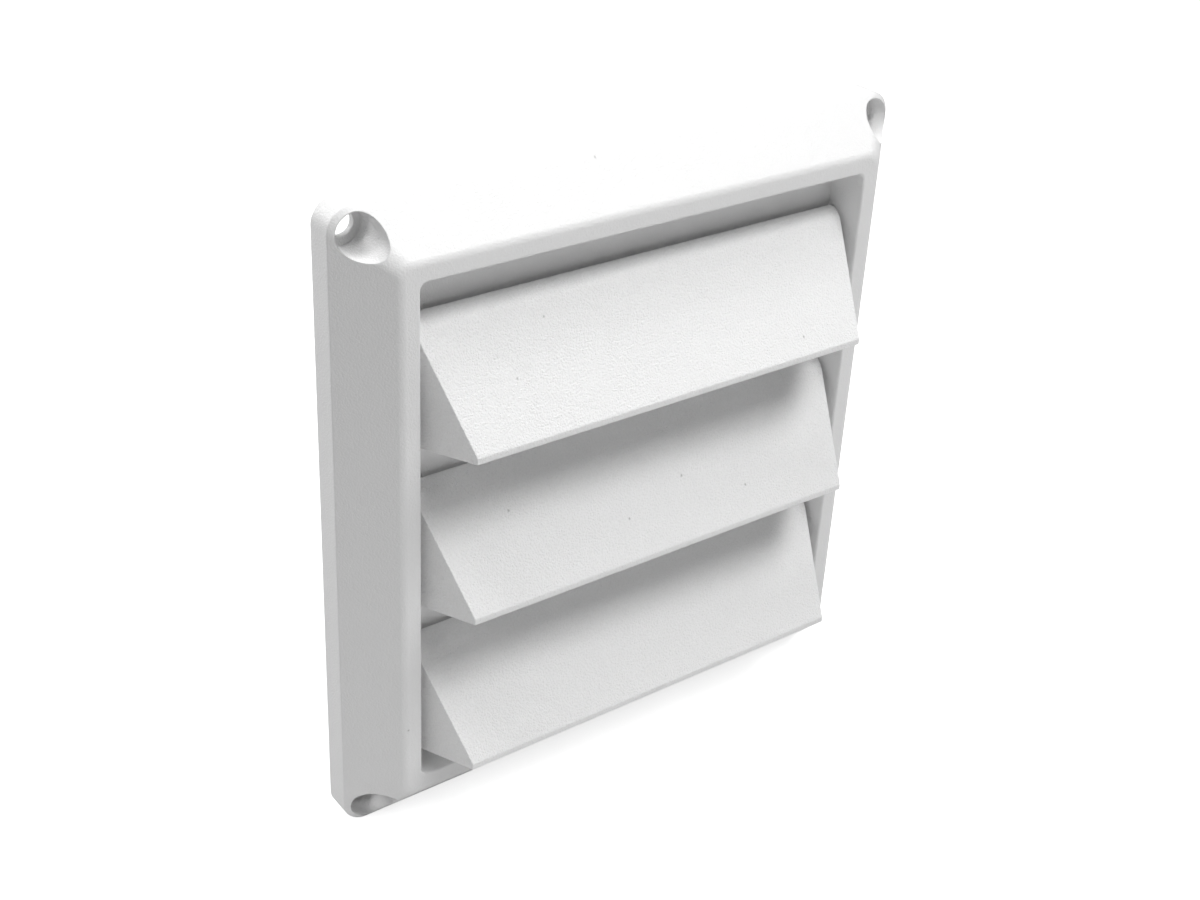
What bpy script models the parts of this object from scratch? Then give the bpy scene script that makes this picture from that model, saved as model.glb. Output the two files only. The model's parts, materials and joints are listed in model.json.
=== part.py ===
"""Louvred vent hood for a 4 inch duct: a moulded frame and three gravity louvres.

Lengths are in metres and +Z is up. The wall face of the frame is the plane y = 0,
and -Y points away from the wall. The origin is the centre of the duct on that plane.
"""
import math

import bmesh
import bpy
from mathutils import Matrix, Vector

# Frame outline and front
FRAME_WIDTH = 0.160
FRAME_HEIGHT = 0.16475
FRAME_CORNER_RADIUS = 0.006
SIDE_DEPTH = 0.0069
FOOT_FILLET = 0.0006
SLOPE_RUN = 0.0114
RIM_DEPTH = 0.0178
RIM_WIDTH = 0.0046
RIM_CORNER_RADIUS = 0.0035
RIM_OUTER_FILLET = 0.003
RIM_INNER_FILLET = 0.0008
FRAME_WALL = 0.002
BACK_CORNER_RADIUS = 0.004

# Web behind the louvres, with its windows and duct collar
WEB_DEPTH = 0.0066
WEB_THICKNESS = 0.002
WINDOW_INSET = 0.0003
COLLAR_OUTER_RADIUS = 0.0495
COLLAR_WALL = 0.0022
COLLAR_TAPER = 0.0005
COLLAR_LENGTH = 0.025
COLLAR_LEAD_IN = 0.0007
COLLAR_SEGMENTS = 64

# Screw recesses in the four corners
SCREW_INSET = 0.0062
RECESS_RADIUS = 0.0049
RECESS_FLOOR = 0.0018
SCREW_HOLE_RADIUS = 0.003
BOSS_WALL = 0.0015
SCREW_SEGMENTS = 32

# Ribs behind the frame
RIB_THICKNESS = 0.0016
RIB_ANGLE = math.radians(35.5)
RIB_SETBACK = 0.001

# Louvres
LOUVRE_NAMES = ("louvre_top", "louvre_middle", "louvre_bottom")
TOP_MARGIN = 0.0117
BOTTOM_MARGIN = 0.00715
LOUVRE_SPACING = 0.0142
LOUVRE_REACH = 0.0121
LIP_HEIGHT = 0.0016
LOUVRE_WALL = 0.0016
SHELF_DEPTH = 0.0046
BASE_ANGLE = math.radians(6.9)
BEND_RUN = 0.0029
CHEEK_ANGLE = math.radians(17.9)
LOUVRE_END_GAP = 0.00045
REST_GAP = 0.0003
TOP_LAP = 0.0025
BASE_LAP = 0.0018

# Pivot pins and their holes
PIN_RADIUS = 0.0012
PIN_CORNER = 0.0003
PIN_CLEARANCE = 0.0003
PIN_TIP_GAP = 0.0003
PIVOT_CORNER_RADIUS = 0.0015
PIN_SEGMENTS = 20

# White plastic: linear colours and roughness
FRAME_COLOUR = (0.86, 0.86, 0.85)
LOUVRE_COLOUR = (0.88, 0.88, 0.87)
PLASTIC_ROUGHNESS = 0.45

# Facets on rounded corners, and how far cutters overshoot what they cut
CORNER_SEGMENTS = 6
FILLET_SEGMENTS = 4
OVERSHOOT = 0.003
SMOOTH_ANGLE = math.radians(35)

# Places worked out from the sizes
HALF_WIDTH = FRAME_WIDTH / 2
HALF_HEIGHT = FRAME_HEIGHT / 2
OPENING_INSET = SLOPE_RUN + RIM_WIDTH
OPENING_HALF_WIDTH = HALF_WIDTH - OPENING_INSET
OPENING_HALF_HEIGHT = HALF_HEIGHT - OPENING_INSET
CAVITY_INNER_INSET = OPENING_INSET - FRAME_WALL
COLLAR_BORE_RADIUS = COLLAR_OUTER_RADIUS - COLLAR_WALL
WINDOW_RADIUS = COLLAR_BORE_RADIUS - WINDOW_INSET
SLOPE_ANGLE = math.atan2(RIM_DEPTH - SIDE_DEPTH, SLOPE_RUN)
FIRST_LOUVRE_TOP = OPENING_HALF_HEIGHT - TOP_MARGIN
LAST_LOUVRE_LIP = BOTTOM_MARGIN - OPENING_HALF_HEIGHT
LOUVRE_PITCH = (FIRST_LOUVRE_TOP - LAST_LOUVRE_LIP + LOUVRE_SPACING) / len(LOUVRE_NAMES)
LOUVRE_DROP = LOUVRE_PITCH - LOUVRE_SPACING
PIVOT_Y = -(WEB_DEPTH + REST_GAP + PIVOT_CORNER_RADIUS)
PIVOT_TO_TOP = PIVOT_CORNER_RADIUS
PIVOT_TO_REAR = PIVOT_CORNER_RADIUS
LOUVRE_END = OPENING_HALF_WIDTH - LOUVRE_END_GAP
PIN_END = OPENING_HALF_WIDTH + FRAME_WALL - PIN_TIP_GAP
LIP_Y = -(RIM_DEPTH + LOUVRE_REACH) - PIVOT_Y
BASE_FRONT_Z = PIVOT_TO_TOP - LOUVRE_DROP
BASE_REAR_Z = BASE_FRONT_Z - (PIVOT_TO_REAR - LIP_Y) * math.tan(BASE_ANGLE)


def pivot_height(index):
    """Height of a louvre's pivot axis, counted from the top louvre."""
    return FIRST_LOUVRE_TOP - PIVOT_TO_TOP - index * LOUVRE_PITCH


# Scene and material helpers

def clear_scene():
    for item in list(bpy.data.objects):
        bpy.data.objects.remove(item, do_unlink=True)


def white_plastic(name, colour):
    """Principled material of one moulded piece."""
    material = bpy.data.materials.new(name)
    material.use_nodes = True
    shader = material.node_tree.nodes["Principled BSDF"]
    shader.inputs["Base Color"].default_value = (*colour, 1.0)
    shader.inputs["Roughness"].default_value = PLASTIC_ROUGHNESS
    shader.inputs["Metallic"].default_value = 0.0
    return material


def object_from_bmesh(name, bm):
    bmesh.ops.recalc_face_normals(bm, faces=bm.faces)
    mesh = bpy.data.meshes.new(name)
    bm.to_mesh(mesh)
    bm.free()
    item = bpy.data.objects.new(name, mesh)
    bpy.context.scene.collection.objects.link(item)
    return item


def make_cutter(item):
    item.hide_render = True
    item.display_type = 'WIRE'
    return item


def boolean(item, tool, operation):
    """Adds an exact Boolean to an object and keeps its tool as a hidden guide."""
    modifier = item.modifiers.new(operation.lower() + "_" + tool.name, 'BOOLEAN')
    modifier.operation = operation
    modifier.solver = 'EXACT'
    modifier.object = make_cutter(tool)


def shade(item):
    """Smooth shading with the moulded edges kept sharp."""
    item.data.shade_smooth()
    item.data.set_sharp_from_angle(angle=SMOOTH_ANGLE)


# Shape helpers

def fillet(before, corner, after, radius, segments=FILLET_SEGMENTS):
    """Points of the arc that rounds a corner of a flat outline."""
    to_before = (before - corner).normalized()
    to_after = (after - corner).normalized()
    half_angle = to_before.angle(to_after) / 2
    centre = corner + (to_before + to_after).normalized() * radius / math.sin(half_angle)
    start = corner + to_before * radius / math.tan(half_angle) - centre
    end = corner + to_after * radius / math.tan(half_angle) - centre
    turn = start.angle_signed(end)
    return [centre + Matrix.Rotation(-turn * step / segments, 2) @ start for step in range(segments + 1)]


def rounded_rectangle(half_width, half_height, radius, y):
    """One ring of the frame: a rounded rectangle in a plane of constant y."""
    points = []
    for quarter, (side, level) in enumerate(((1, 1), (-1, 1), (-1, -1), (1, -1))):
        centre_x = side * (half_width - radius)
        centre_z = level * (half_height - radius)
        for step in range(CORNER_SEGMENTS + 1):
            angle = math.radians(90) * (quarter + step / CORNER_SEGMENTS)
            across = centre_x + radius * math.cos(angle)
            up = centre_z + radius * math.sin(angle)
            points.append(Vector((across, y, up)))
    return points


def ring_at(inset, depth, radius):
    """Ring at a distance in from the plate's edge and a height above the wall."""
    return rounded_rectangle(HALF_WIDTH - inset, HALF_HEIGHT - inset, radius, -depth)


def loft(name, rings):
    """Closed body through a row of rings that have the same number of points."""
    bm = bmesh.new()
    loops = [[bm.verts.new(point) for point in ring] for ring in rings]
    for lower, upper in zip(loops, loops[1:]):
        for index in range(len(lower)):
            bm.faces.new((lower[index - 1], lower[index], upper[index], upper[index - 1]))
    bm.faces.new(loops[0])
    bm.faces.new(loops[-1])
    return object_from_bmesh(name, bm)


def rod(bm, radius, start, end, segments):
    """Adds a closed cylinder between two points to a bmesh."""
    axis = end - start
    turn = Vector((0, 0, 1)).rotation_difference(axis).to_matrix().to_4x4()
    place = Matrix.Translation((start + end) / 2) @ turn
    return bmesh.ops.create_cone(
        bm, cap_ends=True, cap_tris=False, segments=segments,
        radius1=radius, radius2=radius, depth=axis.length, matrix=place)["verts"]


def box(bm, low, high):
    """Adds a box between two corners to a bmesh."""
    size = Vector(high) - Vector(low)
    place = Matrix.Translation((Vector(high) + Vector(low)) / 2) @ Matrix.Diagonal((*size, 1))
    bmesh.ops.create_cube(bm, size=1, matrix=place)


# Frame

def corner_radius(inset):
    """The outline's corners tighten from the plate's edge up to the rim."""
    share = min(inset / SLOPE_RUN, 1)
    return FRAME_CORNER_RADIUS + (RIM_CORNER_RADIUS - FRAME_CORNER_RADIUS) * share


def frame_shell():
    """Front of the frame: side wall, sloped border, rim, and the recess down to the web."""
    back = Vector((0, 0))
    foot = Vector((0, SIDE_DEPTH))
    crest = Vector((SLOPE_RUN, RIM_DEPTH))
    brink = Vector((OPENING_INSET, RIM_DEPTH))
    sill = Vector((OPENING_INSET, WEB_DEPTH))
    profile = [back]
    profile += fillet(back, foot, crest, FOOT_FILLET)
    profile += fillet(foot, crest, brink, RIM_OUTER_FILLET)
    profile += fillet(crest, brink, sill, RIM_INNER_FILLET)
    profile += [sill]
    return loft("frame", [ring_at(inset, depth, corner_radius(inset)) for inset, depth in profile])


def corner_points(inset):
    return [
        (side * (HALF_WIDTH - inset), level * (HALF_HEIGHT - inset))
        for side in (1, -1) for level in (1, -1)
    ]


def corner_rods(name, radius, front, rear):
    """Four rods along Y, one in each corner of the plate."""
    bm = bmesh.new()
    for x, z in corner_points(SCREW_INSET):
        rod(bm, radius, Vector((x, -front, z)), Vector((x, -rear, z)), SCREW_SEGMENTS)
    return object_from_bmesh(name, bm)


def border_ribs():
    """Ribs from the side walls across the hollow border to the collar, two on each side."""
    bm = bmesh.new()
    half = RIB_THICKNESS / 2
    collar_middle = (COLLAR_BORE_RADIUS + COLLAR_OUTER_RADIUS) / 2
    rib_offset = collar_middle * math.sin(RIB_ANGLE)
    inner_end = collar_middle * math.cos(RIB_ANGLE)
    front = -(RIM_DEPTH - FRAME_WALL / 2)
    for side in (1, -1):
        xs = sorted((side * (HALF_WIDTH - FRAME_WALL / 2), side * inner_end))
        zs = sorted((side * (HALF_HEIGHT - FRAME_WALL / 2), side * inner_end))
        for offset in (rib_offset, -rib_offset):
            box(bm, (xs[0], front, offset - half), (xs[1], -RIB_SETBACK, offset + half))
            box(bm, (offset - half, front, zs[0]), (offset + half, -RIB_SETBACK, zs[1]))
    return object_from_bmesh("border_ribs", bm)


def back_hollow():
    """Hollow behind the shell, which leaves the walls, the ribs and the screw bosses standing."""
    run = math.cos(SLOPE_ANGLE)
    fall = math.sin(SLOPE_ANGLE)
    inner_foot_depth = SIDE_DEPTH - FRAME_WALL * (1 - fall) / run
    crest_depth = RIM_DEPTH - FRAME_WALL
    crest_inset = FRAME_WALL + (crest_depth - inner_foot_depth) * run / fall
    crest_radius = RIM_CORNER_RADIUS - (crest_inset - SLOPE_RUN)
    jamb_radius = RIM_CORNER_RADIUS + FRAME_WALL
    hollow = loft("back_hollow", [
        ring_at(FRAME_WALL, -OVERSHOOT, BACK_CORNER_RADIUS),
        ring_at(FRAME_WALL, inner_foot_depth, BACK_CORNER_RADIUS),
        ring_at(crest_inset, crest_depth, crest_radius),
        ring_at(CAVITY_INNER_INSET, crest_depth, jamb_radius),
        ring_at(CAVITY_INNER_INSET, WEB_DEPTH - WEB_THICKNESS, jamb_radius),
    ])
    bosses = corner_rods("screw_bosses", RECESS_RADIUS + BOSS_WALL, RIM_DEPTH, -2 * OVERSHOOT)
    boolean(hollow, bosses, 'DIFFERENCE')
    boolean(hollow, border_ribs(), 'DIFFERENCE')
    return hollow


def duct_collar():
    """Round collar behind the web, turned about the duct's axis."""
    root = -(WEB_DEPTH - WEB_THICKNESS / 2)
    tip_radius = COLLAR_OUTER_RADIUS - COLLAR_TAPER
    section = [
        (COLLAR_BORE_RADIUS, root),
        (COLLAR_OUTER_RADIUS, root),
        (tip_radius, COLLAR_LENGTH - COLLAR_LEAD_IN),
        (tip_radius - COLLAR_LEAD_IN, COLLAR_LENGTH),
        (COLLAR_BORE_RADIUS, COLLAR_LENGTH),
    ]
    bm = bmesh.new()
    verts = [bm.verts.new((radius, y, 0)) for radius, y in section]
    edges = [bm.edges.new((vert, verts[index - 1])) for index, vert in enumerate(verts)]
    bmesh.ops.spin(bm, geom=verts + edges, axis=(0, 1, 0), cent=(0, 0, 0),
                   angle=math.radians(360), steps=COLLAR_SEGMENTS, use_merge=True)
    return object_from_bmesh("duct_collar", bm)


def crossbars():
    """Solid bands of the web that the louvres rest against."""
    bm = bmesh.new()
    for index in range(len(LOUVRE_NAMES) + 1):
        top = OPENING_HALF_HEIGHT
        if index > 0:
            top = pivot_height(index - 1) + BASE_REAR_Z + BASE_LAP
        bottom = -OPENING_HALF_HEIGHT
        if index < len(LOUVRE_NAMES):
            bottom = pivot_height(index) + PIVOT_TO_TOP - TOP_LAP
        box(bm, (-OPENING_HALF_WIDTH, -2 * WEB_DEPTH, bottom), (OPENING_HALF_WIDTH, WEB_DEPTH, top))
    return object_from_bmesh("crossbars", bm)


def windows():
    """Air windows: the duct's circle less the crossbars."""
    bm = bmesh.new()
    front = Vector((0, -WEB_DEPTH - OVERSHOOT / 2, 0))
    rear = Vector((0, -WEB_DEPTH + WEB_THICKNESS + OVERSHOOT / 2, 0))
    rod(bm, WINDOW_RADIUS, front, rear, COLLAR_SEGMENTS)
    disc = object_from_bmesh("windows", bm)
    boolean(disc, crossbars(), 'DIFFERENCE')
    return disc


def pivot_holes():
    """Holes through both jambs for the louvres' pins."""
    bm = bmesh.new()
    reach = OPENING_HALF_WIDTH + FRAME_WALL + OVERSHOOT / 2
    for index in range(len(LOUVRE_NAMES)):
        height = pivot_height(index)
        rod(bm, PIN_RADIUS + PIN_CLEARANCE, Vector((-reach, PIVOT_Y, height)),
            Vector((reach, PIVOT_Y, height)), PIN_SEGMENTS)
    return object_from_bmesh("pivot_holes", bm)


def build_frame():
    frame = frame_shell()
    boolean(frame, back_hollow(), 'DIFFERENCE')
    boolean(frame, duct_collar(), 'UNION')
    boolean(frame, windows(), 'DIFFERENCE')
    recesses = corner_rods("screw_recesses", RECESS_RADIUS, RIM_DEPTH + OVERSHOOT, RECESS_FLOOR)
    holes = corner_rods("screw_holes", SCREW_HOLE_RADIUS, 2 * RECESS_FLOOR, -OVERSHOOT)
    boolean(frame, recesses, 'DIFFERENCE')
    boolean(frame, holes, 'DIFFERENCE')
    boolean(frame, pivot_holes(), 'DIFFERENCE')
    shade(frame)
    frame.data.materials.append(white_plastic("frame_plastic", FRAME_COLOUR))
    return frame


# Louvres, modelled about their pivot axis

def meet(point, direction, other, other_direction):
    """Crossing point of two lines in a plane."""
    step = (other - point).cross(other_direction) / direction.cross(other_direction)
    return point + direction * step


def louvre_section(wall):
    """Outline of a louvre in y and z, its faces set in by a wall; no wall gives the outer form."""
    lip_bottom = Vector((LIP_Y, BASE_FRONT_Z))
    lip_top = lip_bottom + Vector((0, LIP_HEIGHT))
    blade = (Vector((PIVOT_TO_REAR - SHELF_DEPTH, PIVOT_TO_TOP)) - lip_top).normalized()
    bend_radius = BEND_RUN / math.tan(blade.angle(Vector((1, 0))) / 2)
    base = Vector((math.cos(BASE_ANGLE), -math.sin(BASE_ANGLE)))
    on_blade = lip_top + Vector((wall / blade.y, 0))
    on_base = lip_bottom + Vector((0, wall / base.x))
    shelf = PIVOT_TO_TOP - wall
    rear = PIVOT_TO_REAR + (OVERSHOOT if wall else 0)
    bend = meet(on_blade, blade, Vector((0, shelf)), Vector((1, 0)))
    rear_base = meet(on_base, base, Vector((rear, 0)), Vector((0, 1)))
    rear_top = Vector((rear, shelf))
    if wall:
        points = [meet(on_blade, blade, on_base, base), rear_base, rear_top]
    else:
        points = [lip_top, lip_bottom, rear_base]
        points += fillet(rear_base, rear_top, bend, PIVOT_CORNER_RADIUS)
    return points + fillet(rear_top, bend, on_blade, bend_radius - wall, 2 * FILLET_SEGMENTS)


def wedge(name, section, half_width):
    """Prism along X whose ends lean inwards towards the lip, as the cheeks do."""
    bm = bmesh.new()
    face = bm.faces.new([bm.verts.new((-half_width, y, z)) for y, z in section])
    sweep = bmesh.ops.extrude_face_region(bm, geom=[face])
    moved = [item for item in sweep["geom"] if isinstance(item, bmesh.types.BMVert)]
    bmesh.ops.translate(bm, verts=moved, vec=(2 * half_width, 0, 0))
    for side in (1, -1):
        cut = bmesh.ops.bisect_plane(
            bm, geom=bm.verts[:] + bm.edges[:] + bm.faces[:], clear_outer=True,
            plane_co=(side * half_width, -PIVOT_CORNER_RADIUS, 0),
            plane_no=(side * math.cos(CHEEK_ANGLE), -math.sin(CHEEK_ANGLE), 0))
        rim = [item for item in cut["geom_cut"] if isinstance(item, bmesh.types.BMEdge)]
        bmesh.ops.contextual_create(bm, geom=rim)
    return object_from_bmesh(name, bm)


def pivot_pins():
    """Two short pins on the louvre's ends, with rounded tips."""
    bm = bmesh.new()
    root = LOUVRE_END - LOUVRE_WALL / 2
    for side in (1, -1):
        rod(bm, PIN_RADIUS, Vector((side * root, 0, 0)), Vector((side * PIN_END, 0, 0)), PIN_SEGMENTS)
    tips = [edge for edge in bm.edges if all(abs(vert.co.x) > LOUVRE_END for vert in edge.verts)]
    bmesh.ops.bevel(bm, geom=tips, offset=PIN_CORNER, segments=1, affect='EDGES', profile=0.5, material=-1)
    return object_from_bmesh("pivot_pins", bm)


def build_louvre_mesh():
    """Moulded louvre: sloped blade, base, two cheeks and pins, open at the back."""
    blank = wedge("louvre_blank", louvre_section(0), LOUVRE_END)
    inside = wedge("louvre_inside", louvre_section(LOUVRE_WALL), LOUVRE_END - LOUVRE_WALL)
    pins = pivot_pins()
    boolean(blank, inside, 'DIFFERENCE')
    boolean(blank, pins, 'UNION')
    bpy.context.view_layer.update()
    mesh = bpy.data.meshes.new_from_object(blank.evaluated_get(bpy.context.evaluated_depsgraph_get()))
    for item in (blank, inside, pins):
        bpy.data.objects.remove(item, do_unlink=True)
    return mesh


def build_louvres():
    mesh = build_louvre_mesh()
    mesh.shade_smooth()
    mesh.set_sharp_from_angle(angle=SMOOTH_ANGLE)
    for index, name in enumerate(LOUVRE_NAMES):
        louvre = bpy.data.objects.new(name, mesh.copy())
        louvre.data.materials.clear()
        louvre.data.materials.append(white_plastic(name + "_plastic", LOUVRE_COLOUR))
        louvre.location = (0, PIVOT_Y, pivot_height(index))
        bpy.context.scene.collection.objects.link(louvre)


def main():
    clear_scene()
    build_frame()
    build_louvres()


main()
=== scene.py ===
# %% [markdown]
# # A louvred vent hood in white plastic
# The hood closes the outside end of a round air duct. It has four moulded pieces: a square frame
# that is screwed to the wall, and three hollow louvres that hang in it on small pins. The air
# lifts the louvres, and their own weight closes them.
#
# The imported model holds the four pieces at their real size, with few facets. This script keeps
# their sizes and places, gives each piece a finer surface with rounded edges, and adds the finish
# of moulded plastic, a camera, a floor and soft light. The model comes in first, because every
# size that its boxes can tell is read from them and not written again.

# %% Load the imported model
import json
import math

import bmesh
import bpy
from mathutils import Euler, Matrix, Vector


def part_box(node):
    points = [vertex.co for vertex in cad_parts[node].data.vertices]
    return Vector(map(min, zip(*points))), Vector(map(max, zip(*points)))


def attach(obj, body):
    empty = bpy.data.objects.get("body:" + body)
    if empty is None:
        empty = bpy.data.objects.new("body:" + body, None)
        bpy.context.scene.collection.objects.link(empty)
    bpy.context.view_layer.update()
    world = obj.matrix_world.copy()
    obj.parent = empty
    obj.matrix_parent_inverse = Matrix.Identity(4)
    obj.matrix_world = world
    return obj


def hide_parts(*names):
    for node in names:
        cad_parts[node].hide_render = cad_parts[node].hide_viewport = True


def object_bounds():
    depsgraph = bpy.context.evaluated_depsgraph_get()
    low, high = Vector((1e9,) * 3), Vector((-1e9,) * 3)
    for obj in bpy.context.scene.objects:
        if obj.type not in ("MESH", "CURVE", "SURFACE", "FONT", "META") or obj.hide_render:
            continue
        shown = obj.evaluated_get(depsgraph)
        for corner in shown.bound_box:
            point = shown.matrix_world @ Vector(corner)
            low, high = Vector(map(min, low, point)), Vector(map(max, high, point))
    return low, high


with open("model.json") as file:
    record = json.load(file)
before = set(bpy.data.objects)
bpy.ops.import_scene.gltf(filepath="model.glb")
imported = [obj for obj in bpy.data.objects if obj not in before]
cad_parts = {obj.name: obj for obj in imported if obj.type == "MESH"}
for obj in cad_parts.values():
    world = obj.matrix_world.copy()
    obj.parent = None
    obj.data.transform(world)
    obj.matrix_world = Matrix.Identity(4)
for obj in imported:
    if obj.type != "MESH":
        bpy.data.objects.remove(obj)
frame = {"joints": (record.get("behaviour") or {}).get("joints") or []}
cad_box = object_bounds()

frame_low, frame_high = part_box("frame")
HALF_WIDTH = frame_high.x
HALF_HEIGHT = frame_high.z
RIM_DEPTH = -frame_low.y
COLLAR_LENGTH = frame_high.y
print(f"plate {2 * HALF_WIDTH:.4f} x {2 * HALF_HEIGHT:.4f} m, rim {RIM_DEPTH:.4f} m from the wall")

# %% [markdown]
# ## Two helpers for solid shapes
# Each shape below is drawn in a bmesh, Blender's mesh in memory, and then handed to an object.
# A moulding with many features is easiest to read as a blank that other solids are added to and
# taken from, which is what a Boolean modifier does. The result is kept and the tool is removed,
# so that no hidden helper stays in the scene.

# %% From a bmesh to an object, and from two solids to one
def solid(name, bm):
    """Makes an object from a bmesh, with its faces turned outwards."""
    bmesh.ops.recalc_face_normals(bm, faces=bm.faces)
    mesh = bpy.data.meshes.new(name)
    bm.to_mesh(mesh)
    bm.free()
    item = bpy.data.objects.new(name, mesh)
    bpy.context.scene.collection.objects.link(item)
    return item


def combine(item, tool, operation):
    """Joins a tool to an object, or takes it away from it, for good."""
    step = item.modifiers.new("combine", 'BOOLEAN')
    step.operation = operation
    step.solver = 'EXACT'
    step.object = tool
    bpy.context.view_layer.update()
    shown = item.evaluated_get(bpy.context.evaluated_depsgraph_get())
    result = bpy.data.meshes.new_from_object(shown)
    item.modifiers.clear()
    item.data = result
    bpy.data.objects.remove(tool)
    return item


def report(item):
    """Prints what a closed piece measures."""
    bm = bmesh.new()
    bm.from_mesh(item.data)
    faults = sum(not edge.is_contiguous for edge in bm.edges)
    volume = bm.calc_volume() * 1e6
    print(f"{item.name}: {len(bm.faces)} faces, {volume:.2f} cubic cm, {faults} faulty edges")
    bm.free()


# %% [markdown]
# ## The frame's shell
# The frame's front is one smooth band that runs round the opening: a low side wall, a sloped
# border, a flat rim and a jamb down to the web. It could be a box with its faces inset, but the
# corners tighten from 6 mm at the plate's edge to 2 mm at the opening, and an inset keeps no such
# rule. So a circle is pulled apart at its four quarters, which makes a rounded rectangle, and it
# is extruded ring by ring. A layer remembers where each point lay on the circle, and a
# ring needs only its inset, its height above the wall and its corner radius.

# %% Rings that grow from a circle
CORNER_POINTS = 18
RING_POINTS = 4 * CORNER_POINTS
HALF_STEP = math.pi / RING_POINTS
ONTO_WALL_PLANE = Matrix.Rotation(math.radians(90), 4, 'X') @ Matrix.Rotation(HALF_STEP, 4, 'Z')


def spread_ring(ring, unit, inset, depth, radius):
    """Moves the points of a unit circle onto a rounded rectangle."""
    arc = radius / math.cos(HALF_STEP)
    for vert in ring:
        spot = vert[unit]
        across = math.copysign(HALF_WIDTH - inset - radius, spot.x) + arc * spot.x
        up = math.copysign(HALF_HEIGHT - inset - radius, spot.z) + arc * spot.z
        vert.co = (across, -depth, up)


def sweep_rings(stations):
    """Closed body through rings given as inset, depth and corner radius, with its edge loops."""
    bm = bmesh.new()
    unit = bm.verts.layers.float_vector.new("unit")
    bmesh.ops.create_circle(
        bm, cap_ends=True, radius=1, segments=RING_POINTS, matrix=ONTO_WALL_PLANE)
    ring = bm.verts[:]
    loops = [bm.edges[:]]
    for vert in ring:
        vert[unit] = vert.co
    spread_ring(ring, unit, *stations[0])
    for station in stations[1:]:
        grown = bmesh.ops.extrude_edge_only(bm, edges=loops[-1])["geom"]
        ring = [part for part in grown if isinstance(part, bmesh.types.BMVert)]
        ends = set(ring)
        edges = [part for part in grown if isinstance(part, bmesh.types.BMEdge)]
        loops.append([edge for edge in edges if ends.issuperset(edge.verts)])
        spread_ring(ring, unit, *station)
    bmesh.ops.contextual_create(bm, geom=loops[-1])
    return bm, loops


# %% [markdown]
# The shell starts with sharp loops. Each loop is then rounded by a bevel, as a mould maker rounds
# the edges of a cavity: 0.6 mm at the foot of the slope, a soft 3 mm where the slope turns into
# the rim, and 0.6 mm at the rim's inner edge, which catches the light as a thin bright line. A
# bevel's offset is the length of the tangent, so it follows from the radius and the turn.

# %% The shell and its three rounded loops
SIDE_DEPTH = 0.0069
SLOPE_RUN = 0.0114
RIM_WIDTH = 0.0046
WEB_DEPTH = 0.0066
PLATE_CORNER = 0.006
RIM_CORNER = 0.0035
OPENING_CORNER = 0.002
FOOT_FILLET = 0.0006
RIM_OUTER_FILLET = 0.003
RIM_INNER_FILLET = 0.0006
FOOT_SEGMENTS = 4
CREST_SEGMENTS = 8
BRINK_SEGMENTS = 6

OPENING_INSET = SLOPE_RUN + RIM_WIDTH
OPENING_HALF_WIDTH = HALF_WIDTH - OPENING_INSET
OPENING_HALF_HEIGHT = HALF_HEIGHT - OPENING_INSET
SLOPE_ANGLE = math.atan2(RIM_DEPTH - SIDE_DEPTH, SLOPE_RUN)


def round_edges(bm, edges, offset, segments):
    """Rounds edges with a plain circular bevel and returns the new faces."""
    return bmesh.ops.bevel(
        bm, geom=edges, offset=offset, offset_type='OFFSET', segments=segments, profile=0.5,
        affect='EDGES', material=-1, clamp_overlap=False, loop_slide=True)["faces"]


def build_shell():
    """Solid front of the frame, down to the web."""
    bm, loops = sweep_rings([
        (0, 0, PLATE_CORNER),
        (0, SIDE_DEPTH, PLATE_CORNER),
        (SLOPE_RUN, RIM_DEPTH, RIM_CORNER),
        (OPENING_INSET, RIM_DEPTH, OPENING_CORNER),
        (OPENING_INSET, WEB_DEPTH, OPENING_CORNER),
    ])
    foot, crest, brink = loops[1:4]
    foot_turn = math.pi / 2 - SLOPE_ANGLE
    round_edges(bm, foot, FOOT_FILLET * math.tan(foot_turn / 2), FOOT_SEGMENTS)
    round_edges(bm, crest, RIM_OUTER_FILLET * math.tan(SLOPE_ANGLE / 2), CREST_SEGMENTS)
    round_edges(bm, brink, RIM_INNER_FILLET, BRINK_SEGMENTS)
    return solid("hood_frame", bm)


hood_frame = build_shell()
report(hood_frame)

# %% [markdown]
# ## The hollow back
# A plastic moulding keeps the same wall everywhere, or it sinks and warps as it cools. Behind the
# slope and the rim the frame is therefore hollow, with a 2 mm wall. The hollow is a second sweep
# of rings, set in by the wall. Ribs tie the side walls to the duct's collar, and a boss round
# each screw stands in the hollow. Both are left standing by taking them out of the hollow before
# the hollow is taken out of the shell.

# %% Rods and boxes, the two simple tools
FRAME_WALL = 0.002
OVERSHOOT = 0.003
COLLAR_RADIUS = 0.0495
COLLAR_WALL = 0.0022
SCREW_INSET = 0.0062
RECESS_RADIUS = 0.0049
BOSS_WALL = 0.0015
ROUND_SEGMENTS = 64


def add_rod(bm, radius, start, end, segments=ROUND_SEGMENTS):
    """Adds a closed cylinder between two points."""
    axis = end - start
    turn = Vector((0, 0, 1)).rotation_difference(axis).to_matrix().to_4x4()
    bmesh.ops.create_cone(
        bm, cap_ends=True, cap_tris=False, segments=segments, radius1=radius, radius2=radius,
        depth=axis.length, matrix=Matrix.Translation((start + end) / 2) @ turn)


def add_box(bm, low, high):
    """Adds a box between two corners."""
    size = Vector(high) - Vector(low)
    place = Matrix.Translation((Vector(high) + Vector(low)) / 2) @ Matrix.Diagonal((*size, 1))
    bmesh.ops.create_cube(bm, size=1, matrix=place)


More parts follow.
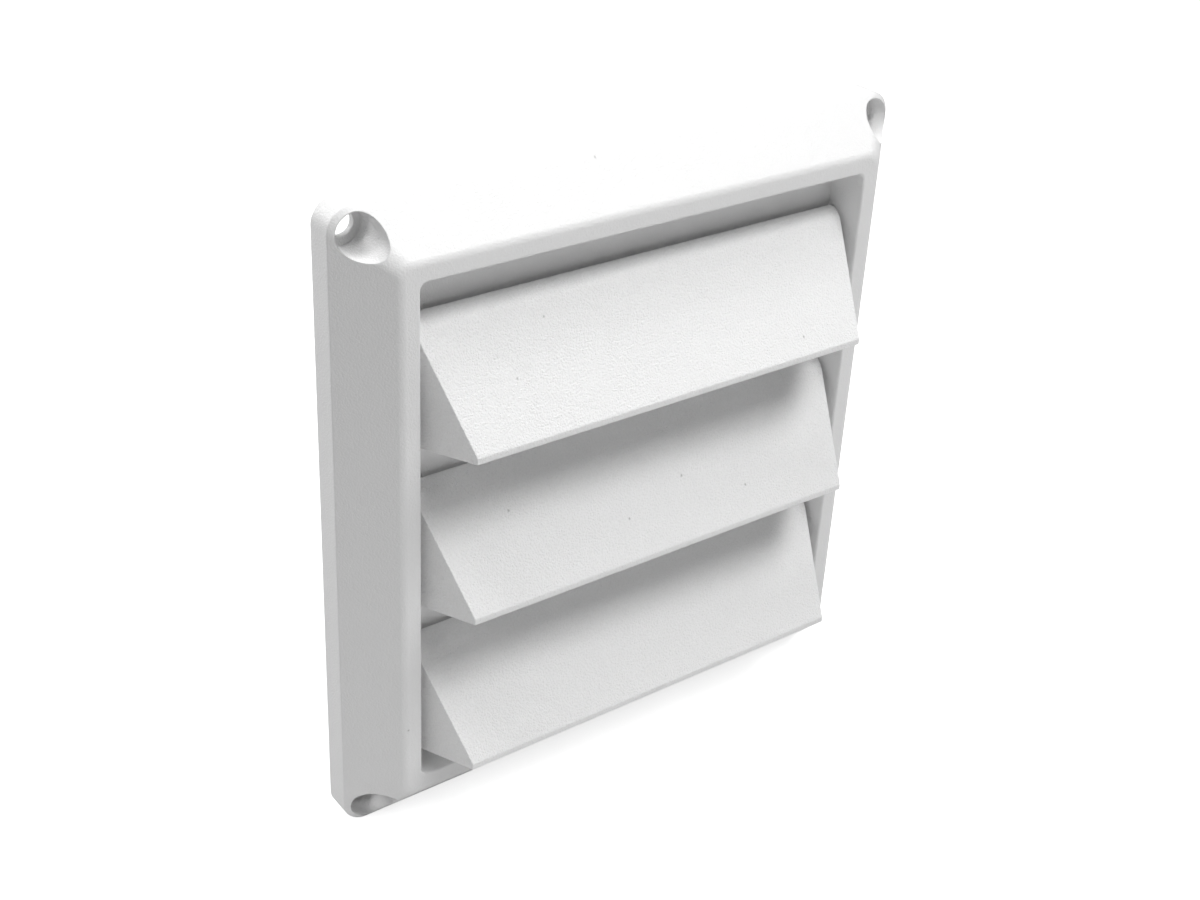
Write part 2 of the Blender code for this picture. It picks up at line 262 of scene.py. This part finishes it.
def corner_rods(name, radius, front, rear):
    """Four rods straight through the plate, one in each corner."""
    bm = bmesh.new()
    for side in (1, -1):
        for level in (1, -1):
            x = side * (HALF_WIDTH - SCREW_INSET)
            z = level * (HALF_HEIGHT - SCREW_INSET)
            add_rod(bm, radius, Vector((x, -front, z)), Vector((x, -rear, z)))
    return solid(name, bm)


# %% Ribs, bosses and the hollow
RIB_THICKNESS = 0.0016
RIB_ANGLE = math.radians(35.5)
RIB_SETBACK = 0.001
WEB_THICKNESS = 0.002
BACK_CORNER = 0.004


def border_ribs():
    """Two ribs from each side wall across the border to the collar."""
    collar_middle = COLLAR_RADIUS - COLLAR_WALL / 2
    offset = collar_middle * math.sin(RIB_ANGLE)
    inner = collar_middle * math.cos(RIB_ANGLE)
    front = FRAME_WALL / 2 - RIM_DEPTH
    half = RIB_THICKNESS / 2
    bm = bmesh.new()
    for side in (1, -1):
        xs = sorted((side * (HALF_WIDTH - FRAME_WALL / 2), side * inner))
        zs = sorted((side * (HALF_HEIGHT - FRAME_WALL / 2), side * inner))
        for middle in (offset, -offset):
            add_box(bm, (xs[0], front, middle - half), (xs[1], -RIB_SETBACK, middle + half))
            add_box(bm, (middle - half, front, zs[0]), (middle + half, -RIB_SETBACK, zs[1]))
    return solid("ribs", bm)


def back_hollow():
    """The hollow behind the slope, the rim and the web."""
    foot_depth = SIDE_DEPTH - FRAME_WALL * (1 - math.sin(SLOPE_ANGLE)) / math.cos(SLOPE_ANGLE)
    crest_depth = RIM_DEPTH - FRAME_WALL
    crest_inset = FRAME_WALL + (crest_depth - foot_depth) / math.tan(SLOPE_ANGLE)
    inner_inset = OPENING_INSET - FRAME_WALL
    bm, _ = sweep_rings([
        (FRAME_WALL, -OVERSHOOT, BACK_CORNER),
        (FRAME_WALL, foot_depth, BACK_CORNER),
        (crest_inset, crest_depth, RIM_CORNER - (crest_inset - SLOPE_RUN)),
        (inner_inset, crest_depth, OPENING_CORNER + FRAME_WALL),
        (inner_inset, WEB_DEPTH - WEB_THICKNESS, OPENING_CORNER + FRAME_WALL),
    ])
    hollow = solid("hollow", bm)
    bosses = corner_rods("bosses", RECESS_RADIUS + BOSS_WALL, RIM_DEPTH, -2 * OVERSHOOT)
    combine(hollow, bosses, 'DIFFERENCE')
    return combine(hollow, border_ribs(), 'DIFFERENCE')


combine(hood_frame, back_hollow(), 'DIFFERENCE')
report(hood_frame)

# %% [markdown]
# ## The duct collar
# The collar slides into the duct. It is a turned form, so its wall section is drawn once and spun
# round the duct's axis. It leans in a little towards its end, as every moulded collar does to
# leave the mould, and has a small lead-in there.

# %% Spin the collar
COLLAR_TAPER = 0.0005
COLLAR_LEAD_IN = 0.0007
COLLAR_SEGMENTS = 144
COLLAR_BORE = COLLAR_RADIUS - COLLAR_WALL


def duct_collar():
    """Turned collar, rooted in the middle of the web."""
    root = WEB_THICKNESS / 2 - WEB_DEPTH
    tip_radius = COLLAR_RADIUS - COLLAR_TAPER
    bm = bmesh.new()
    section = [bm.verts.new((radius, y, 0)) for radius, y in (
        (COLLAR_BORE, root),
        (COLLAR_RADIUS, root),
        (tip_radius, COLLAR_LENGTH - COLLAR_LEAD_IN),
        (tip_radius - COLLAR_LEAD_IN, COLLAR_LENGTH),
        (COLLAR_BORE, COLLAR_LENGTH),
    )]
    outline = [bm.edges.new((vert, section[index - 1])) for index, vert in enumerate(section)]
    bmesh.ops.spin(
        bm, geom=section + outline, axis=(0, 1, 0), cent=(0, 0, 0), angle=math.radians(360),
        steps=COLLAR_SEGMENTS, use_merge=True)
    return solid("collar", bm)


combine(hood_frame, duct_collar(), 'UNION')
report(hood_frame)

# %% [markdown]
# ## Air windows, screw recesses and pivot holes
# The web behind the louvres is open to the duct in three windows, between the bars that the
# louvres close on. In each corner a round recess takes a screw's head, with a hole for its shank.
# The recess is a plain cylinder in the photograph too: it cuts the slope and leaves a curved
# mouth. Six small holes through the jambs carry the louvres' pins.

# %% Sizes of the cuts
WINDOW_INSET = 0.0003
RECESS_FLOOR = 0.0018
SCREW_HOLE_RADIUS = 0.003
TOP_LAP = 0.0025
BASE_LAP = 0.0018
PIN_RADIUS = 0.0012
PIN_CLEARANCE = 0.0003
PIN_SEGMENTS = 32

pivots = [Vector(joint["pos_m"]) for joint in frame["joints"]]
louvre_low, louvre_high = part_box("louvre_top")
louvre_low -= pivots[0]
louvre_high -= pivots[0]
print(f"{len(pivots)} pivots, {pivots[0].z - pivots[1].z:.4f} m apart")


def windows():
    """The duct's circle through the web, less the bars that the louvres close on."""
    bm = bmesh.new()
    front = Vector((0, -WEB_DEPTH - OVERSHOOT / 2, 0))
    rear = Vector((0, WEB_THICKNESS - WEB_DEPTH + OVERSHOOT / 2, 0))
    add_rod(bm, COLLAR_BORE - WINDOW_INSET, front, rear, COLLAR_SEGMENTS)
    disc = solid("windows", bm)
    tops = [OPENING_HALF_HEIGHT] + [pivot.z + louvre_low.z + BASE_LAP for pivot in pivots]
    bottoms = [pivot.z + louvre_high.z - TOP_LAP for pivot in pivots] + [-OPENING_HALF_HEIGHT]
    bars = bmesh.new()
    for top, bottom in zip(tops, bottoms):
        add_box(bars, (-HALF_WIDTH, -RIM_DEPTH, bottom), (HALF_WIDTH, RIM_DEPTH, top))
    return combine(disc, solid("bars", bars), 'DIFFERENCE')


def pivot_holes():
    """One rod through both jambs for each louvre."""
    bm = bmesh.new()
    reach = Vector((OPENING_HALF_WIDTH + FRAME_WALL + OVERSHOOT / 2, 0, 0))
    for pivot in pivots:
        add_rod(bm, PIN_RADIUS + PIN_CLEARANCE, pivot - reach, pivot + reach, PIN_SEGMENTS)
    return solid("pivot_holes", bm)


# %% [markdown]
# The cuts go one after the other. Each tool reaches a little past the faces that it opens, so
# that no two faces lie in one plane, which a Boolean can't always decide.

# %% Cut them
recesses = corner_rods("recesses", RECESS_RADIUS, RIM_DEPTH + OVERSHOOT, RECESS_FLOOR)
screw_holes = corner_rods("holes", SCREW_HOLE_RADIUS, 2 * RECESS_FLOOR, -OVERSHOOT)
for tool in (windows(), recesses, screw_holes, pivot_holes()):
    combine(hood_frame, tool, 'DIFFERENCE')
report(hood_frame)

# %% [markdown]
# ## A louvre
# A louvre is a hollow wedge: a blade that slopes outwards, a base under it, two cheeks that lean
# in towards the lip, and a rounded knuckle at the top with a pin on each end. It could be five
# plates, but the real one is a single moulding. So its side view is drawn as a polygon with
# rounded corners, extruded to its width, and cut along both cheeks. A smaller wedge made the same
# way hollows it from behind.

# %% The louvre's side view
LIP_HEIGHT = 0.0016
SHELF_DEPTH = 0.0046
BASE_ANGLE = math.radians(6.9)
CHEEK_ANGLE = math.radians(17.9)
LOUVRE_WALL = 0.0016
LOUVRE_END_GAP = 0.00045
BEND_RUN = 0.0029
BEND_TURN = math.radians(55.6)
BEND_SEGMENTS = 10
KNUCKLE_RUN = 0.0009
KNUCKLE_SEGMENTS = 8
EDGE_RADIUS = 0.0002
EDGE_SEGMENTS = 3
ROUNDED_FROM = math.radians(30)
LOUVRE_END = OPENING_HALF_WIDTH - LOUVRE_END_GAP

LIP_Y = louvre_low.y
BASE_REAR_Z = louvre_low.z
REAR_Y = louvre_high.y
TOP_Z = louvre_high.z
BASE_FRONT_Z = BASE_REAR_Z + (REAR_Y - LIP_Y) * math.tan(BASE_ANGLE)


def meet(point, direction, other, other_direction):
    """Crossing point of two lines in a plane."""
    step = (other - point).cross(other_direction) / direction.cross(other_direction)
    return point + direction * step


def side_view(wall):
    """Corners of the wedge in y and z, from the base's rear edge upwards, set in by a wall."""
    lip_bottom = Vector((LIP_Y, BASE_FRONT_Z))
    lip_top = lip_bottom + Vector((0, LIP_HEIGHT))
    blade = (Vector((REAR_Y - SHELF_DEPTH, TOP_Z)) - lip_top).normalized()
    base = Vector((math.cos(BASE_ANGLE), -math.sin(BASE_ANGLE)))
    on_blade = lip_top + Vector((wall / blade.y, 0))
    on_base = lip_bottom + Vector((0, wall / base.x))
    shelf = Vector((0, TOP_Z - wall))
    rear = Vector((REAR_Y + (OVERSHOOT if wall else 0), 0))
    corners = [
        meet(on_base, base, rear, Vector((0, 1))),
        Vector((rear.x, shelf.y)),
        meet(on_blade, blade, shelf, Vector((1, 0))),
    ]
    if wall:
        return corners + [meet(on_blade, blade, on_base, base)]
    return corners + [lip_top, lip_bottom]


# %% [markdown]
# Bevelling a vertex of a flat face rounds that corner of the polygon. The bend at the top of the
# blade gets a wide arc and the pivot corner a small one. The other edges stay crisp, but no
# moulded edge is perfectly sharp, so they are rounded by 0.2 mm once the cheeks are cut.

# %% The wedge, its cheeks and its rounded edges
def wedge(name, wall, half_width, bend_run, knuckle_run, edge_radius):
    """Prism along X from the side view, with its two ends leaning in towards the lip."""
    bm = bmesh.new()
    outline = [bm.verts.new((-half_width, y, z)) for y, z in side_view(wall)]
    bm.faces.new(outline)
    rounded = ((outline[2], bend_run, BEND_SEGMENTS), (outline[1], knuckle_run, KNUCKLE_SEGMENTS))
    for vert, run, segments in rounded:
        if run:
            bmesh.ops.bevel(
                bm, geom=[vert], offset=run, offset_type='OFFSET', segments=segments, profile=0.5,
                affect='VERTICES', material=-1)
    swept = bmesh.ops.extrude_face_region(bm, geom=bm.faces[:])["geom"]
    moved = [part for part in swept if isinstance(part, bmesh.types.BMVert)]
    bmesh.ops.translate(bm, verts=moved, vec=(2 * half_width, 0, 0))
    for side in (1, -1):
        cut = bmesh.ops.bisect_plane(
            bm, geom=bm.verts[:] + bm.edges[:] + bm.faces[:], clear_outer=True,
            plane_co=(side * half_width, -REAR_Y, 0),
            plane_no=(side * math.cos(CHEEK_ANGLE), -math.sin(CHEEK_ANGLE), 0))
        rim = [part for part in cut["geom_cut"] if isinstance(part, bmesh.types.BMEdge)]
        bmesh.ops.contextual_create(bm, geom=rim)
    if edge_radius:
        bmesh.ops.recalc_face_normals(bm, faces=bm.faces)
        sharp = [edge for edge in bm.edges if edge.calc_face_angle() > ROUNDED_FROM]
        round_edges(bm, sharp, edge_radius, EDGE_SEGMENTS)
    return solid(name, bm)


def pivot_pins():
    """Two short pins with rounded tips."""
    bm = bmesh.new()
    root = LOUVRE_END - LOUVRE_WALL / 2
    for side in (1, -1):
        start = Vector((side * root, 0, 0))
        add_rod(bm, PIN_RADIUS, start, Vector((side * louvre_high.x, 0, 0)), PIN_SEGMENTS)
    tips = [edge for edge in bm.edges if all(abs(vert.co.x) > LOUVRE_END for vert in edge.verts)]
    round_edges(bm, tips, PIN_CLEARANCE, EDGE_SEGMENTS)
    return solid("pins", bm)


def build_louvre(name):
    """One louvre about its own pivot."""
    louvre = wedge(name, 0, LOUVRE_END, BEND_RUN, KNUCKLE_RUN, EDGE_RADIUS)
    report(louvre)
    inner_run = BEND_RUN - LOUVRE_WALL * math.tan(BEND_TURN / 2)
    inside = wedge("inside", LOUVRE_WALL, LOUVRE_END - LOUVRE_WALL, inner_run, 0, 0)
    combine(louvre, inside, 'DIFFERENCE')
    combine(louvre, pivot_pins(), 'UNION')
    report(louvre)
    return louvre


# %% [markdown]
# The three louvres come from the same mould, so the same shape is copied three times. Each copy
# is moved to its pivot in its mesh, and its object stays at the origin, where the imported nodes
# are too.

# %% Three louvres in their places
master = build_louvre("louvre_master")
louvres = {}
for node, pivot in zip(("louvre_top", "louvre_middle", "louvre_bottom"), pivots):
    piece = bpy.data.objects.new(node + "_moulding", master.data.copy())
    piece.data.transform(Matrix.Translation(pivot))
    bpy.context.scene.collection.objects.link(piece)
    louvres[node] = piece
bpy.data.objects.remove(master)

# %% [markdown]
# ## Shading of the moulded surfaces
# Rounded stretches are shaded smooth and moulded corners stay sharp. Large flat faces would pick
# up a false gradient from the small fillet faces beside them, so a Weighted Normal modifier lets
# the larger face decide.

# %% Smooth shading with weighted normals
SHARP_ANGLE = math.radians(32)


def shade(item):
    """Smooth shading with sharp corners, led by the larger faces."""
    item.data.shade_smooth()
    item.data.set_sharp_from_angle(angle=SHARP_ANGLE)
    weighted = item.modifiers.new("weighted_normals", 'WEIGHTED_NORMAL')
    weighted.keep_sharp = True


for item in [hood_frame, *louvres.values()]:
    shade(item)

# %% [markdown]
# ## What the plastic looks like
# The hood is white plastic with a fine sandy grain that the mould's face leaves on it. Four
# effects make that finish: the grain, softened edges, a faint clouding of the colour and a few
# dark specks. Each effect is a node group with named inputs and outputs, built once, so that the
# frame and the louvres can use it with their own values. All of them read Object coordinates,
# which are metres on the real piece, so a size typed into a node is a real size.

# %% Helpers for node groups
def new_group(name, inputs, outputs):
    """Empty shader group with float inputs, and outputs given as name and socket type."""
    tree = bpy.data.node_groups.new(name, 'ShaderNodeTree')
    for label, value in inputs:
        socket = tree.interface.new_socket(label, in_out='INPUT', socket_type='NodeSocketFloat')
        socket.default_value = value
    for label, kind in outputs:
        tree.interface.new_socket(label, in_out='OUTPUT', socket_type=kind)
    entry = tree.nodes.new('NodeGroupInput')
    result = tree.nodes.new('NodeGroupOutput')
    return tree, entry.outputs, result.inputs


def add_node(tree, kind, sources, **settings):
    """Adds a node, sets its properties, and links or fills its sockets."""
    node = tree.nodes.new(kind)
    for name, value in settings.items():
        setattr(node, name, value)
    for socket, source in sources.items():
        if isinstance(source, bpy.types.NodeSocket):
            tree.links.new(source, node.inputs[socket])
        else:
            node.inputs[socket].default_value = source
    return node.outputs


def math_node(tree, operation, *values):
    """One Math node; returns its output."""
    return add_node(tree, 'ShaderNodeMath', dict(enumerate(values)), operation=operation)["Value"]


# %% [markdown]
# A mould's face is blasted or etched, and the plastic copies its tiny bumps. The grain could be
# an image, but noise made by nodes needs no unwrapped mesh and stays sharp from near by. Soft
# noise gives uneven patches, and the cells of a Voronoi texture taken from it give small rounded
# grains. The low spots come out as a mask too; the materials paint shade into them with it and
# make them duller.

# %% Moulded grain
NOISE_DETAIL = 2.0
NOISE_ROUGHNESS = 0.6
FINE_SHARE = -0.5
PIT_START = 0.4


def grain_group():
    """Height of a sandy grain, coarse and fine parts mixed, and a mask of its pits."""
    tree, inputs, outputs = new_group(
        "moulded_grain", [("Grain Size", 0.0004)],
        [("Height", 'NodeSocketFloat'), ("Pits", 'NodeSocketFloat')])
    place = add_node(tree, 'ShaderNodeTexCoord', {})["Object"]
    scale = math_node(tree, 'DIVIDE', 1.0, inputs["Grain Size"])
    coarse = add_node(tree, 'ShaderNodeTexNoise', {
        "Vector": place, "Scale": scale, "Detail": NOISE_DETAIL,
        "Roughness": NOISE_ROUGHNESS})["Fac"]
    fine = add_node(tree, 'ShaderNodeTexVoronoi', {
        "Vector": place, "Scale": scale})["Distance"]
    mixed = math_node(tree, 'MULTIPLY_ADD', fine, FINE_SHARE, coarse)
    pits = add_node(tree, 'ShaderNodeMapRange', {
        "Value": mixed, "From Min": PIT_START, "From Max": 0.0,
        "To Min": 0.0, "To Max": 1.0})["Result"]
    tree.links.new(mixed, outputs["Height"])
    tree.links.new(pits, outputs["Pits"])
    return tree


# %% [markdown]
# The screw recesses and the windows end in curved edges that a mesh bevel would fold. A Bevel
# node rounds them in the shading alone: it averages the directions of the faces within its
# radius. Where the averaged normal turns away from the face's own there is an edge, which gives
# the mask. The materials use the mask to paint a highlight along the edges.

# %% Softened edges
BEVEL_SAMPLES = 6
FULL_EDGE_COSINE = 0.85


def edge_group():
    """Normal that rounds sharp edges, and a mask that is 1 on them."""
    tree, inputs, outputs = new_group(
        "softened_edges", [("Radius", 0.0002)],
        [("Normal", 'NodeSocketVector'), ("Edge", 'NodeSocketFloat')])
    rounded = add_node(
        tree, 'ShaderNodeBevel', {"Radius": inputs["Radius"]}, samples=BEVEL_SAMPLES)["Normal"]
    flat = add_node(tree, 'ShaderNodeNewGeometry', {})["Normal"]
    cosine = add_node(
        tree, 'ShaderNodeVectorMath', {0: rounded, 1: flat}, operation='DOT_PRODUCT')["Value"]
    bent = add_node(tree, 'ShaderNodeMapRange', {
        "Value": cosine, "From Min": 1.0, "From Max": FULL_EDGE_COSINE,
        "To Min": 0.0, "To Max": 1.0})["Result"]
    tree.links.new(rounded, outputs["Normal"])
    tree.links.new(bent, outputs["Edge"])
    return tree


# %% [markdown]
# Moulded plastic is never one even tone. A large soft noise clouds it, and a few grey specks lie
# where the photograph shows them. They could be painted on an image; here each one is a soft disc
# seen from the front, made from the distance to its place in X and Z.

# %% Clouding and specks
CLOUD_DETAIL = 3.0
CLOUD_ROUGHNESS = 0.5


def cloud_group():
    """Slow variation of the surface, from 0 to 1."""
    tree, inputs, outputs = new_group(
        "faint_clouding", [("Cloud Size", 0.02)], [("Cloud", 'NodeSocketFloat')])
    place = add_node(tree, 'ShaderNodeTexCoord', {})["Object"]
    scale = math_node(tree, 'DIVIDE', 1.0, inputs["Cloud Size"])
    cloud = add_node(tree, 'ShaderNodeTexNoise', {
        "Vector": place, "Scale": scale, "Detail": CLOUD_DETAIL,
        "Roughness": CLOUD_ROUGHNESS})["Fac"]
    tree.links.new(cloud, outputs["Cloud"])
    return tree


def speck_group():
    """One dark spot at a place on the front, seen along Y: 1 on the spot, 0 elsewhere."""
    tree, inputs, outputs = new_group(
        "dark_speck", [("Across", 0.0), ("Up", 0.0), ("Speck Radius", 0.0003)],
        [("Speck", 'NodeSocketFloat')])
    place = add_node(tree, 'ShaderNodeTexCoord', {})["Object"]
    at = add_node(tree, 'ShaderNodeSeparateXYZ', {"Vector": place})
    across = math_node(tree, 'SUBTRACT', at["X"], inputs["Across"])
    up = math_node(tree, 'SUBTRACT', at["Z"], inputs["Up"])
    squares = math_node(tree, 'MULTIPLY_ADD', across, across, math_node(tree, 'MULTIPLY', up, up))
    distance = math_node(tree, 'SQRT', squares)
    soft = add_node(tree, 'ShaderNodeMapRange', {
        "Value": distance, "From Min": inputs["Speck Radius"], "From Max": 0.0,
        "To Min": 0.0, "To Max": 1.0})["Result"]
    tree.links.new(soft, outputs["Speck"])
    return tree


shared = (grain_group(), edge_group(), cloud_group(), speck_group())
GROUPS = {group.name: group for group in shared}
print("node groups:", ", ".join(GROUPS))

# %% [markdown]
# ## The two plastics
# Frame and louvres are both white plastic, but the louvres came from another mould with a deeper
# grain. Each material places the groups with its own values. The colour starts white and is
# clouded a little; painted shade darkens it in the grain's pits, a painted highlight lightens it
# on the edges, and it turns grey in the specks. The grain also bends the light, through a Bump
# node, and makes the gloss uneven.

# %% White plastic
FRAME_WHITE = (0.85, 0.85, 0.85, 1.0)
LOUVRE_WHITE = (0.95, 0.95, 0.95, 1.0)
# Darker tone for the clouding, also used as painted shade in the grain's pits.
CLOUD_AND_PIT_SHADE_WHITE = (0.85, 0.85, 0.85, 1.0)
# Colour of the painted highlight along sharp edges.
EDGE_HIGHLIGHT_WHITE = (0.96, 0.96, 0.96, 1.0)
SPECK_GREY = (0.5, 0.5, 0.49, 1.0)
CLOUD_SIZE = 0.02
CLOUD_SHARE = 0.3
SPECK_RADIUS = 0.0004
SMOOTH_ROUGHNESS = 0.4
PIT_ROUGHNESS = 0.6
PLASTIC_IOR = 1.5
FRAME_SPECKS = ((-0.0123, 0.0815), (-0.0678, -0.0506))
LOUVRE_SPECKS = (
    (-0.0302, 0.0494), (-0.0415, 0.0397), (0.0400, 0.0316),
    (-0.0403, 0.0027), (0.0095, -0.0018), (-0.0089, -0.0066), (0.0275, -0.0080))


def place_group(tree, name, **values):
    """Places a shared group and sets its inputs by name."""
    node = tree.nodes.new('ShaderNodeGroup')
    node.node_tree = GROUPS[name]
    for label, value in values.items():
        node.inputs[label.replace("_", " ")].default_value = value
    return node.outputs


def mix(tree, factor, first, second):
    """Mixes two colours; picks the colour sockets among the Mix node's many."""
    node = tree.nodes.new('ShaderNodeMix')
    node.data_type = 'RGBA'
    named = {socket.identifier: socket for socket in node.inputs}
    tree.links.new(factor, named["Factor_Float"])
    for socket, colour in ((named["A_Color"], first), (named["B_Color"], second)):
        if isinstance(colour, bpy.types.NodeSocket):
            tree.links.new(colour, socket)
        else:
            socket.default_value = colour
    return {socket.identifier: socket for socket in node.outputs}["Result_Color"]


def white_plastic(name, white, grain_size, grain_depth, pit_shade_share, edge_radius, specks):
    """White moulded plastic with its grain, softened edges, clouding and specks, painted shade in
    the grain's pits and a painted highlight on the edges.
    """
    material = bpy.data.materials.new(name)
    material.use_nodes = True
    tree = material.node_tree
    shader = tree.nodes["Principled BSDF"]
    grain = place_group(tree, "moulded_grain", Grain_Size=grain_size)
    edges = place_group(tree, "softened_edges", Radius=edge_radius)
    cloud = place_group(tree, "faint_clouding", Cloud_Size=CLOUD_SIZE)
    dull = math_node(tree, 'MULTIPLY', cloud["Cloud"], CLOUD_SHARE)
    # Mix factor: the real clouding plus painted shade in the grain's pits.
    pits = math_node(tree, 'MULTIPLY_ADD', grain["Pits"], pit_shade_share, dull)
    base = mix(tree, pits, white, CLOUD_AND_PIT_SHADE_WHITE)
    # Painted highlight: the edge mask lightens the colour along sharp edges.
    base = mix(tree, edges["Edge"], base, EDGE_HIGHLIGHT_WHITE)
    for across, up in specks:
        speck = place_group(tree, "dark_speck", Across=across, Up=up, Speck_Radius=SPECK_RADIUS)
        base = mix(tree, speck["Speck"], base, SPECK_GREY)
    tree.links.new(base, shader.inputs["Base Color"])
    rough = add_node(tree, 'ShaderNodeMapRange', {
        "Value": grain["Pits"], "To Min": SMOOTH_ROUGHNESS,
        "To Max": PIT_ROUGHNESS})["Result"]
    tree.links.new(rough, shader.inputs["Roughness"])
    bump = add_node(tree, 'ShaderNodeBump', {
        "Strength": 1.0, "Distance": grain_depth, "Height": grain["Height"],
        "Normal": edges["Normal"]})["Normal"]
    tree.links.new(bump, shader.inputs["Normal"])
    shader.inputs["IOR"].default_value = PLASTIC_IOR
    return material


frame_plastic = white_plastic(
    "frame_plastic", FRAME_WHITE, grain_size=0.0005, grain_depth=0.00009, pit_shade_share=0.5,
    edge_radius=0.0004, specks=FRAME_SPECKS)
louvre_plastic = white_plastic(
    "louvre_plastic", LOUVRE_WHITE, grain_size=0.00045, grain_depth=0.0002, pit_shade_share=0.4,
    edge_radius=0.0001, specks=LOUVRE_SPECKS)
print(f"{len(FRAME_SPECKS) + len(LOUVRE_SPECKS)} specks on two plastics")

# %% [markdown]
# ## Take the nodes' places
# Each fine piece stands for its imported node, moves with the same body, and gets the material
# that it takes its finish from.

# %% Ride, replace, slot
def stand_in(piece, node, material):
    """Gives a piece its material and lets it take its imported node's place."""
    piece.data.materials.clear()
    piece.data.materials.append(material)
    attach(piece, node)
    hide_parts(node)


stand_in(hood_frame, "frame", frame_plastic)
for node, piece in louvres.items():
    stand_in(piece, node, louvre_plastic)

# %% [markdown]
# ## Floor and light
# The photograph was taken in a bright white surround that comes out as plain white. A floor lit
# by lamps alone would turn grey, so the camera sees the floor as almost pure white, while the
# light that bounces from it to the hood stays that of a pale floor. The Light Path node tells
# the two cases apart.

# %% Pale floor and white surround
FLOOR_HALF_SIZE = 3.0
FLOOR_COLOUR = (0.75, 0.75, 0.75, 1.0)
FLOOR_ROUGHNESS = 0.9
FLOOR_GLOW = 0.8
PURE_WHITE = (1.0, 1.0, 1.0, 1.0)


def pale_floor():
    """Large square under the hood, nearly shadowless to the camera."""
    bm = bmesh.new()
    bmesh.ops.create_grid(bm, x_segments=1, y_segments=1, size=FLOOR_HALF_SIZE)
    bmesh.ops.translate(bm, verts=bm.verts, vec=(0, 0, cad_box[0].z))
    floor = solid("floor", bm)
    material = bpy.data.materials.new("pale_floor")
    material.use_nodes = True
    tree = material.node_tree
    shader = tree.nodes["Principled BSDF"]
    shader.inputs["Base Color"].default_value = FLOOR_COLOUR
    shader.inputs["Roughness"].default_value = FLOOR_ROUGHNESS
    shader.inputs["Emission Color"].default_value = PURE_WHITE
    seen = add_node(tree, 'ShaderNodeLightPath', {})["Is Camera Ray"]
    glow = math_node(tree, 'MULTIPLY', seen, FLOOR_GLOW)
    tree.links.new(glow, shader.inputs["Emission Strength"])
    floor.data.materials.append(material)


pale_floor()

world = bpy.data.worlds.new("white_surround")
bpy.context.scene.world = world
world.use_nodes = True
sky = world.node_tree.nodes["Background"]
sky.inputs["Color"].default_value = PURE_WHITE
seen = add_node(world.node_tree, 'ShaderNodeLightPath', {})["Is Camera Ray"]
world.node_tree.links.new(seen, sky.inputs["Strength"])
bpy.context.scene.view_settings.view_transform = 'Standard'

# %% [markdown]
# The shadows under the rim and under the louvres' lips tell where the light came from. They
# end softly a few millimetres below each lip, so the main light stood high in front, a little to
# the right, and was large. Two weaker lamps beside it soften its shadows. The top of the plate
# and the left wall are bright as well, which takes a lamp overhead and four more on the left and
# behind. All are round area lamps at the same distance, and a real studio would use two or three
# large soft boxes in their place.

# %% Soft lamps
LAMP_DISTANCE = 1.2
LAMP_SIZE = 0.45


def soft_lamp(name, azimuth, elevation, watts):
    """Round area lamp that looks at the hood; azimuth 0 is straight in front of it."""
    data = bpy.data.lights.new(name, 'AREA')
    data.shape = 'DISK'
    data.size = LAMP_SIZE
    data.energy = watts
    side = math.radians(azimuth)
    lift = math.radians(elevation)
    level = math.cos(lift)
    away = Vector((math.sin(side) * level, -math.cos(side) * level, math.sin(lift)))
    lamp = bpy.data.objects.new(name, data)
    lamp.location = LAMP_DISTANCE * away
    lamp.rotation_euler = (-away).to_track_quat('-Z', 'Y').to_euler()
    lamp.visible_camera = False
    bpy.context.scene.collection.objects.link(lamp)


soft_lamp("key_light", 30, 57, 5.5)
soft_lamp("right_light", 60, 57, 2.8)
soft_lamp("front_light", 0, 57, 2.1)
soft_lamp("left_front_light", -60, 40, 1.0)
soft_lamp("top_light", 0, 90, 2.8)
soft_lamp("left_rear_light", -120, 73, 3.8)
soft_lamp("low_rear_light", -150, 20, 5.6)
soft_lamp("rear_light", 180, 57, 1.3)

# %% [markdown]
# ## Camera
# The photograph looks down on the hood from its upper left, from about 45 cm away. Place and
# turn come from fitting a camera to the frame's corners and the louvres' lips.

# %% Camera
CAMERA_PLACE = (-0.24237, -0.31077, 0.22474)
CAMERA_TURN = (60.0557, -2.716, -36.3524)
CAMERA_LENS = 53.67
SENSOR_WIDTH = 36
NEAREST = 0.01

camera_data = bpy.data.cameras.new("photo_camera")
camera_data.lens = CAMERA_LENS
camera_data.sensor_width = SENSOR_WIDTH
camera_data.clip_start = NEAREST
camera = bpy.data.objects.new("photo_camera", camera_data)
camera.location = CAMERA_PLACE
camera.rotation_euler = Euler([math.radians(angle) for angle in CAMERA_TURN])
bpy.context.scene.collection.objects.link(camera)
bpy.context.scene.camera = camera
